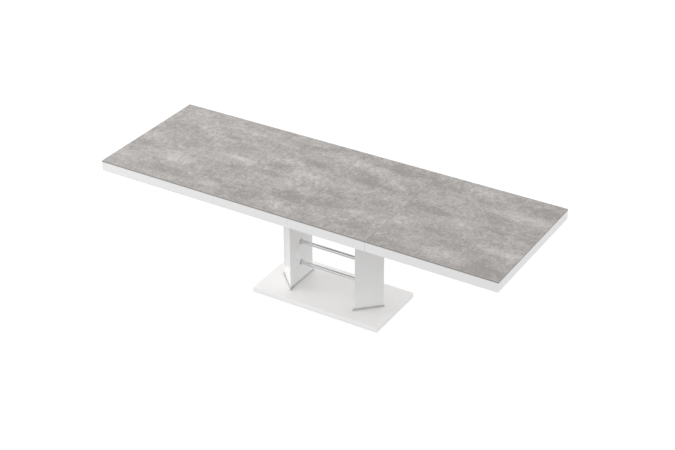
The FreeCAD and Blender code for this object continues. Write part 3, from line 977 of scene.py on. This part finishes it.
@dataclass
class Pedestal:
    """Base plate, two three-sided columns, the cross tubes and the tie rods."""

    lacquer: bpy.types.Material
    # The base plate's lacquer: its white is painted lighter to stand in for the light that the top's shade
    # takes away.
    base_lacquer_painted_light: bpy.types.Material
    beech: dict[Grain, bpy.types.Material]
    tube_steel: bpy.types.Material
    foot_steel: bpy.types.Material
    zinc: bpy.types.Material
    column_ease: float = 0.0015
    base_ease: float = 0.0014
    arc_steps: int = 5
    recess_radius: float = 0.014
    recess_depth: float = 0.016
    recess_ease: float = 0.0005
    recess_segments: int = 48
    trim_ease: float = 0.0005
    tube_wall: float = 0.0015
    tube_gap: float = 0.0001
    boss_length: float = 0.012
    rosette_hole: float = 0.004
    rosette_edge: float = 0.0004
    collar_wall: float = 0.0012
    collar_taper: float = 0.0002
    collar_height: float = 0.0022
    collar_chamfer: float = 0.0006
    rod_radius: float = 0.005
    nut_corner_radius: float = 0.009
    washer_radius: float = 0.011
    washer_thickness: float = 0.002
    washer_gap: float = 0.0001
    washer_ease: float = 0.0005
    glide_radius: float = 0.020
    glide_ease: float = 0.001
    thread_pitch: float = 0.0015
    thread_depth: float = 0.0007
    threaded_length: float = 0.03
    thread_fade: float = 0.004

    def half_arc(self, corner: np.ndarray, before: np.ndarray, after: np.ndarray) -> np.ndarray:
        """Half of the rounding of a sharp corner, from its middle to where it meets the side to after.

        The full arc has radius column_ease and touches both sides. Its centre lies on the corner's bisector,
        radius / sin(half angle) away.

        Args:
            corner, before, after: plan points, the corner and its neighbours.

        Returns:
            Plan points from the mitre to the flat of the side that runs to after.
        """
        to_before = (before - corner) / np.linalg.norm(before - corner)
        to_after = (after - corner) / np.linalg.norm(after - corner)
        half = math.acos(float(np.clip(to_before @ to_after, -1.0, 1.0))) / 2
        bisector = (to_before + to_after) / np.linalg.norm(to_before + to_after)
        centre = corner + bisector * self.column_ease / math.sin(half)
        touch = corner + to_after * self.column_ease / math.tan(half)
        start = math.atan2(*(-bisector)[::-1])
        end = math.atan2(*((touch - centre)[::-1]))
        sweep = (end - start + math.pi) % math.tau - math.pi
        angles = start + np.linspace(0.0, sweep, self.arc_steps)
        return centre + self.column_ease * np.column_stack([np.cos(angles), np.sin(angles)])

    def panel(self, outer: np.ndarray, inner: np.ndarray, index: int, low: float, high: float) -> Shell:
        """One mitred panel of a column, with its share of both rounded edges.

        Args:
            outer, inner: plan triangles of the column's outside and inside.
            index: the side of the triangle that the panel is on.
            low, high: heights of its ends.

        Returns:
            The panel as a closed shell.
        """
        here, there = outer[index], outer[(index + 1) % 3]
        other = outer[(index + 2) % 3]
        lead = self.half_arc(here, other, there)
        tail = self.half_arc(there, other, here)[::-1]
        plan = np.concatenate([lead, tail, [inner[(index + 1) % 3], inner[index]]])
        rings = [np.column_stack([plan, np.full(len(plan), level)]) for level in (low, high)]
        return ring_stack(np.array(rings))

    def columns(self) -> None:
        """Six column panels whose outer edges are rounded across the glued mitres."""
        for side, sign in SIDES.items():
            low, high = (np.array(corner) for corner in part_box(f"{side}_inner_panel"))
            wall = high[0] - low[0]
            face = low[0] if sign > 0 else high[0]
            half = (high[1] - low[1]) / 2
            outer = np.array([[face, -half], [face + sign * half, 0.0], [face, half]])
            tip = half - wall * (1.0 + math.sqrt(2.0))
            inner = np.array([[face + sign * wall, -tip], [face + sign * (half - math.sqrt(2.0) * wall), 0.0],
                              [face + sign * wall, tip]])
            for index, place in enumerate(("front", "back", "inner")):
                node = f"{side}_{place}_panel"
                shell = self.panel(outer, inner, index, low[2], high[2])
                make_piece(f"{node}_lacquered", shell, self.lacquer, "base", (node,), 20.0)

    def eased_plate(self, low: np.ndarray, high: np.ndarray) -> Shell:
        """A plate with rounded edges, as rings of four corners and four side middles.

        At angle t from 0 to 90 degrees the lower rings are set in by ease (1 - sin t) and stand
        ease (1 - cos t) above the bottom. The upper rings are set in by ease (1 - cos t) and lie
        ease (1 - sin t) below the top.

        Args:
            low, high: corners of the plate's box.

        Returns:
            The plate, whose first ring is the outline of its flat underside.
        """
        turn = np.linspace(0.0, math.pi / 2, self.arc_steps)
        inset = self.base_ease * np.concatenate([1.0 - np.sin(turn), 1.0 - np.cos(turn)])
        level = np.concatenate([low[2] + self.base_ease * (1.0 - np.cos(turn)),
                                high[2] - self.base_ease * (1.0 - np.sin(turn))])
        middle_of_plan = (low + high)[:2] / 2
        half = (high - low)[:2] / 2
        plan = middle_of_plan + PLATE_RING * (half - inset[:, None])[:, None, :]
        heights = np.broadcast_to(level[:, None, None], (len(level), len(PLATE_RING), 1))
        return ring_stack(np.concatenate([plan, heights], axis=-1))

    def nut_recess(self, x: float, y: float, mouth: float) -> Shell:
        """One blind recess in the underside: an eased mouth, a wall and a flat end.

        Args:
            x, y: its axis.
            mouth: height of the underside.

        Returns:
            The recess open at its mouth, whose first ring is the mouth, with its faces pointing into it.
        """
        steps = np.linspace(0.0, math.tau, self.recess_segments, endpoint=False)
        walls = ((self.recess_radius + self.recess_ease, 0.0), (self.recess_radius, self.recess_ease),
                 (self.recess_radius, self.recess_depth))
        rings = [np.column_stack([x + r * np.cos(steps), y + r * np.sin(steps),
                                  np.full_like(steps, mouth + depth)]) for r, depth in walls]
        plug = ring_stack(np.array(rings))
        faces = [face[::-1] for face in plug.faces if not (len(face) > 4 and min(face) == 0)]
        return Shell(plug.points, faces)

    def collar(self, mouth: np.ndarray, corners: np.ndarray, numbers: list[int],
               start: int) -> list[tuple[int, ...]]:
        """Flat faces between a recess's mouth and the four corners of its quarter of the underside.

        The mouth is split at its point nearest each corner, and each face spans one stretch of it and
        the side between two corners.

        Args:
            mouth: plan points round the recess.
            corners: plan points of the quarter's corners.
            numbers: the corners' numbers in the whole mesh.
            start: the number of the mouth's first point.

        Returns:
            Four faces.
        """
        nearest = [int(np.argmin(np.linalg.norm(mouth - corner, axis=1))) for corner in corners]
        faces = []
        for side in range(4):
            begin, end = nearest[side], nearest[(side + 1) % 4]
            arc = [start + (begin + step) % len(mouth) for step in range((end - begin) % len(mouth) + 1)]
            faces.append((*arc, numbers[(side + 1) % 4], numbers[side]))
        return faces

    def base_board(self) -> None:
        """The base plate with eased edges and four blind recesses for the nuts in its underside."""
        low, high = (np.array(corner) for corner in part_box("base_plate"))
        plate = self.eased_plate(low, high)
        hub = len(plate.points)
        hub_point = np.append((low + high)[:2] / 2, low[2])
        points = [plate.points, hub_point[None, :]]
        faces = plate.faces[:-2] + plate.faces[-1:]
        count = hub + 1
        for x, y in self.rod_spots():
            corner = int(np.argmax(PLATE_RING @ (np.array([x, y]) - hub_point[:2])))
            numbers = [hub, corner - 1, corner, (corner + 1) % len(PLATE_RING)]
            recess = self.nut_recess(x, y, low[2])
            mouth = recess.points[:self.recess_segments, :2]
            faces += self.collar(mouth, np.concatenate(points)[numbers, :2], numbers, count)
            faces += [tuple(index + count for index in face) for face in recess.faces]
            points.append(recess.points)
            count += len(recess.points)
        make_piece("base_plate_lacquered", Shell(np.concatenate(points), faces), self.base_lacquer_painted_light, "base",
                   ("base_plate",), 30.0)

    def tubes(self) -> None:
        """Two polished tubes with real walls and eased ends."""
        for level in ("upper", "lower"):
            low, high = (np.array(corner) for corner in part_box(f"{level}_tube"))
            radius = (high[2] - low[2]) / 2
            centre = (0.0, 0.0, float(low[2] + radius))
            ease = self.tube_wall / 4
            profile = [(radius - self.tube_wall, low[0]), (radius - ease, low[0]), (radius, low[0] + ease),
                       (radius, high[0] - ease), (radius - ease, high[0]), (radius - self.tube_wall, high[0])]
            tube = turned(profile, 0, centre, 96, True)
            make_piece(f"{level}_tube_polished", tube, self.tube_steel, "base",
                       (f"{level}_tube",))

    def rosettes(self) -> None:
        """Four rosettes: a stepped disc with a rolled rim, and a collar that closes on the tube."""
        low, high = (np.array(corner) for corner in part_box("tube_rosettes"))
        tube_low, tube_high = (np.array(corner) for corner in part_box("upper_tube"))
        tube_radius = (tube_high[2] - tube_low[2]) / 2
        radius = (high[1] - low[1]) / 2
        thick = tube_low[0] - low[0]
        roll = thick * 0.45
        turn = np.linspace(0.0, math.pi / 2, 6)
        rim = [(radius - roll + roll * math.cos(a), thick - roll + roll * math.sin(a)) for a in turn]
        hole, edge = self.rosette_hole, self.rosette_edge
        profile = [(hole, 0.0), (radius - edge, 0.0), (radius, edge)] + rim
        boss = tube_radius - self.tube_wall - 2 * self.tube_gap
        collar = tube_radius + self.collar_wall
        snug = tube_radius + self.tube_gap
        lip = thick + self.collar_height
        profile += [(collar, thick), (collar - self.collar_taper, lip - self.collar_chamfer), (snug, lip),
                    (snug, thick), (boss, thick), (boss, thick + self.boss_length),
                    (hole, thick + self.boss_length)]
        shells = []
        for level in ("upper", "lower"):
            axis_height = float(middle(f"{level}_tube")[2])
            for start, sign in ((low[0], 1.0), (high[0], -1.0)):
                flipped = [(r, sign * h) for r, h in profile]
                shells.append(turned(flipped, 0, (float(start), 0.0, axis_height), 96, True))
        make_piece("tube_rosettes_turned", joined(shells), self.foot_steel, "base",
                   ("tube_rosettes",), 30.0)

    def rod_spots(self) -> list[tuple[float, float]]:
        """Plan places of the four tie rods, from the box that holds them all.

        Returns:
            Their (x, y) pairs, from left to right.
        """
        low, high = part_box("tie_rods")
        radius = self.rod_radius
        return [(x, y) for x in (low[0] + radius, high[0] - radius)
                for y in (low[1] + radius, high[1] - radius)]

    def tie_rods(self) -> None:
        """Tie rods with a helical thread near both ends.

        The radius at height z and angle a is r - d |2 frac(z / pitch - a / 2 pi) - 1| inside the threaded
        lengths, and r between them.
        """
        low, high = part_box("tie_rods")
        radius = self.rod_radius
        ends = np.arange(0.0, self.threaded_length, self.thread_pitch / 4)
        heights = np.concatenate([low[2] + ends, high[2] - ends[::-1]])
        angles = np.linspace(0.0, math.tau, 24, endpoint=False)
        z, a = np.meshgrid(heights, angles, indexing="ij")
        tooth = np.abs(2.0 * np.mod(z / self.thread_pitch - a / math.tau, 1.0) - 1.0)
        from_end = np.minimum(z - low[2], high[2] - z)
        fade = np.clip((self.threaded_length - from_end) / self.thread_fade, 0.0, 1.0)
        depth = self.thread_depth * fade
        r = radius - depth * tooth
        rod = np.stack([r * np.cos(a), r * np.sin(a), z], axis=-1)
        shells = [ring_stack(rod + np.array([x, y, 0.0])) for x, y in self.rod_spots()]
        make_piece("tie_rods_threaded", joined(shells), self.zinc, "base",
                   ("tie_rods",), 60.0)

    def hexagon(self, corner: float, bore: float, low: float, high: float, x: float, y: float) -> Shell:
        """A chamfered nut: the outside at angle a is the hexagon's radius, cut by a cone at both faces.

        The cone starts from a circle of 0.99 times the radius to the flats, and rises by 0.35 of the
        way out from it.

        Args:
            corner: radius to the hexagon's corners.
            bore: radius of the hole.
            low, high: its two faces.
            x, y: its axis.

        Returns:
            The nut as a closed loop of rings from bore to outside and back.
        """
        angles = np.linspace(0.0, math.tau, 72, endpoint=False)
        flat = corner * math.cos(math.pi / 6)
        side = flat / np.cos(np.mod(angles, math.pi / 3) - math.pi / 6)
        cone = np.minimum(side, flat * 0.99)
        rise = 0.35 * (side - cone)
        hole = np.full_like(side, bore)
        bottom = np.full_like(side, low)
        top = np.full_like(side, high)
        ring = [(hole, bottom), (cone, bottom), (side, low + rise),
                (side, high - rise), (cone, top), (hole, top)]
        points = [np.column_stack([r * np.cos(angles) + x, r * np.sin(angles) + y, z]) for r, z in ring]
        return ring_stack(np.array(points), True)

    def nuts(self) -> None:
        """Eight chamfered hexagon nuts and their washers with rolled rims."""
        low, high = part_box("tie_nuts")
        washer_low, washer_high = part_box("tie_washers")
        thick = self.washer_thickness
        bottom = washer_low[2]
        top = washer_high[2]
        nuts = []
        washers = []
        bore = self.rod_radius
        for x, y in self.rod_spots():
            nuts.append(self.hexagon(self.nut_corner_radius, bore, low[2], bottom, x, y))
            nuts.append(self.hexagon(self.nut_corner_radius, bore, top, high[2], x, y))
            for level in (bottom, top - thick):
                rim = eased_disc(self.washer_radius, level, level + thick, self.washer_ease)
                hole = bore + self.washer_gap
                washers.append(turned([(hole, level), *rim, (hole, level + thick)], 2, (x, y, 0.0), 48, True))
        for name, node, shells in (("tie_nuts_chamfered", "tie_nuts", nuts),
                                   ("tie_washers_rolled", "tie_washers", washers)):
            make_piece(name, joined(shells), self.zinc, "base", (node,), 25.0)

    def glides(self, felt: bpy.types.Material) -> None:
        """Six glides with soft rims under the base plate.

        Args:
            felt: their finish.
        """
        low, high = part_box("glides")
        radius = self.glide_radius
        spots = [(x, y) for x in (low[0] + radius, (low[0] + high[0]) / 2, high[0] - radius)
                 for y in (low[1] + radius, high[1] - radius)]
        profile = eased_disc(radius, low[2], high[2], self.glide_ease)
        pads = [turned(profile, 2, (x, y, 0.0), 64) for x, y in spots]
        make_piece("glides_soft", joined(pads), felt, "base", ("glides",))

    def build(self, felt: bpy.types.Material, black: bpy.types.Material) -> None:
        """Dress and detail the pedestal.

        Args:
            felt: finish of the glides.
            black: finish of the plates on the columns.
        """
        self.base_board()
        for side in SIDES:
            dress(f"{side}_foot_trim", self.foot_steel, self.trim_ease)
            dress(f"{side}_top_plate", black)
            dress(f"{side}_column_blocks", self.beech[Grain.UPRIGHT])
        dress("tube_bolts", self.zinc)
        self.columns()
        self.tubes()
        self.rosettes()
        self.tie_rods()
        self.nuts()
        self.glides(felt)


# ---------------------------------------------------------------- studio

@dataclass
class Studio:
    """Pale floor, soft light from all round and the camera."""

    camera_place: tuple[float, float, float] = (4.021, -6.588, 5.005)
    camera_turn: float = 31.01
    camera_dip: float = 30.40
    lens: float = 81.58
    floor_half: float = 40.0
    floor_drop: float = 0.0002
    floor_glow: float = 0.46
    floor_seen: float = 0.90
    floor_white: float = 0.14
    lamp_place: tuple[float, float, float] = (-6.0, -1.5, 1.8)
    lamp_aim: tuple[float, float, float] = (0.0, 0.0, 0.4)
    lamp_size: float = 3.0
    lamp_power: float = 200.0
    sky_even: float = 0.38
    sky_lobes: tuple[tuple[tuple[float, float, float], float], ...] = (
        ((-1.0, 0.0, 0.0), 0.60), ((1.0, 0.0, 0.0), 0.42), ((0.0, -1.0, 0.0), 0.14),
        ((0.0, -0.707, 0.707), 0.32), ((0.0, 0.707, 0.707), 0.34), ((0.707, 0.707, 0.0), 0.50))

    def floor(self) -> None:
        """A wide, nearly shadowless white floor, open to a look from below."""
        half = self.floor_half
        mesh = bpy.data.meshes.new("studio_floor")
        corners = [(-half, -half), (half, -half), (half, half), (-half, half)]
        mesh.from_pydata([(x, y, -self.floor_drop) for x, y in corners], [], [(0, 1, 2, 3)])
        mix = Recipe("studio_floor", 0.9)
        slow = mix.noise(mix.place(), 0.5, 2.0)
        mix.colour(mix.ramp(slow, [(0.0, (self.floor_white,) * 3 + (1.0,)),
                                   (1.0, (self.floor_white * 1.03,) * 3 + (1.0,))]))
        mix.shader.inputs["Emission Color"].default_value = (1.0, 1.0, 1.0, 1.0)
        seen = mix.node("LightPath").outputs["Is Camera Ray"]
        glow = mix.span(seen, 0.0, 1.0, self.floor_glow, self.floor_seen, False)
        mix.feed(mix.shader.inputs["Emission Strength"], glow)
        mix.shader.inputs["Specular IOR Level"].default_value = 0.0
        choose = mix.node("MixShader")
        mix.feed(choose.inputs[0], mix.node("NewGeometry").outputs["Backfacing"])
        mix.feed(choose.inputs[1], mix.shader.outputs[0])
        mix.feed(choose.inputs[2], mix.node("BsdfTransparent").outputs[0])
        mix.feed(mix.tree.nodes["Material Output"].inputs["Surface"], choose.outputs[0])
        mesh.materials.append(mix.material)
        made = bpy.data.objects.new("studio_floor", mesh)
        bpy.context.scene.collection.objects.link(made)

    def sky(self) -> None:
        """Soft light from all round: an even part plus, for each lobe, weight x max(0, direction . lobe)."""
        world = bpy.data.worlds.new("studio")
        bpy.context.scene.world = world
        world.use_nodes = True
        tree = world.node_tree
        background = tree.nodes["Background"]
        background.inputs["Color"].default_value = (1.0, 1.0, 1.0, 1.0)
        where = tree.nodes.new("ShaderNodeTexCoord").outputs["Generated"]

        def step(kind: str, operation: str, first: object, second: object) -> bpy.types.NodeSocket:
            """One vector or number step.

            Args:
                kind: VectorMath or Math.
                operation: the step's name.
                first, second: sockets or constants.

            Returns:
                The result, a number.
            """
            made = tree.nodes.new(f"ShaderNode{kind}")
            made.operation = operation
            for slot, value in zip(made.inputs, (first, second)):
                if isinstance(value, bpy.types.NodeSocket):
                    tree.links.new(value, slot)
                else:
                    slot.default_value = value
            return made.outputs["Value"]

        total: object = self.sky_even
        for lobe, weight in self.sky_lobes:
            toward = step("VectorMath", "DOT_PRODUCT", where, lobe)
            shine = step("Math", "MULTIPLY", step("Math", "MAXIMUM", toward, 0.0), weight)
            total = step("Math", "ADD", total, shine)
        seen = tree.nodes.new("ShaderNodeLightPath").outputs["Is Camera Ray"]
        tree.links.new(step("Math", "MAXIMUM", total, seen), background.inputs["Strength"])

    def lamp(self) -> None:
        """A square soft light to the left, aimed at the middle of the table."""
        data = bpy.data.lights.new("left_softbox", "AREA")
        data.size = self.lamp_size
        data.energy = self.lamp_power
        made = bpy.data.objects.new("left_softbox", data)
        made.location = self.lamp_place
        aim = Vector(self.lamp_aim) - Vector(self.lamp_place)
        made.rotation_euler = aim.to_track_quat("-Z", "Y").to_euler()
        bpy.context.scene.collection.objects.link(made)

    def camera(self) -> None:
        """The camera, level, turned to the left and dipped."""
        data = bpy.data.cameras.new("camera")
        data.lens = self.lens
        data.clip_end = 200.0
        made = bpy.data.objects.new("camera", data)
        made.location = self.camera_place
        made.rotation_euler = (math.radians(90.0 - self.camera_dip), 0.0, math.radians(self.camera_turn))
        bpy.context.scene.collection.objects.link(made)
        bpy.context.scene.camera = made

    def build(self) -> None:
        """Set the whole studio up."""
        bpy.context.scene.view_settings.view_transform = "Standard"
        self.floor()
        self.sky()
        self.lamp()
        self.camera()


def main() -> None:
    """Build the studio, then the finishes, then each sub-assembly of the table."""
    logging.basicConfig(level=logging.INFO, format="%(message)s")
    Studio().build()
    lacquer = GlossLacquer("white_gloss_lacquer").build()
    # Same white lacquer as the columns, painted lighter (250 against 240) as painted light that makes up for
    # the shade the top casts on the base plate; its roughness and coat differ too.
    base_lacquer_painted_light = GlossLacquer("white_base_lacquer", shade(250, 250, 250), 0.18, 0.25, 0.1).build()
    beech = {grain: PlanedBeech(f"beech_{grain.value}", grain).build() for grain in Grain}
    zinc = ZincPlate("zinc_plate").build()
    runner_steel = DrawnMetal("runner_steel", shade(205, 207, 208), shade(176, 179, 181)).build()
    tube_steel = DrawnMetal("tube_steel", shade(232, 232, 233), shade(220, 220, 222),
                            Grain.LENGTHWISE, 0.13, 0.21).build()
    foot_steel = DrawnMetal("foot_steel", shade(220, 220, 221), shade(200, 200, 202),
                            Grain.UPRIGHT, 0.3, 0.42).build()
    felt = PowderCoat("felt_pad", shade(96, 97, 100), 0.9, 900.0, 0.0004).build()
    rubber = PowderCoat("black_rubber", shade(34, 34, 36), 0.62, 1400.0, 0.00004).build()
    black = PowderCoat("black_powder", shade(40, 40, 42), 0.48, 1800.0, 0.00005).build()
    TableTop(lacquer, beech, zinc).build()
    DrawGear(beech, runner_steel, rubber).build()
    Pedestal(lacquer, base_lacquer_painted_light, beech, tube_steel, foot_steel, zinc).build(felt, black)


if __name__ == "__main__":
    main()
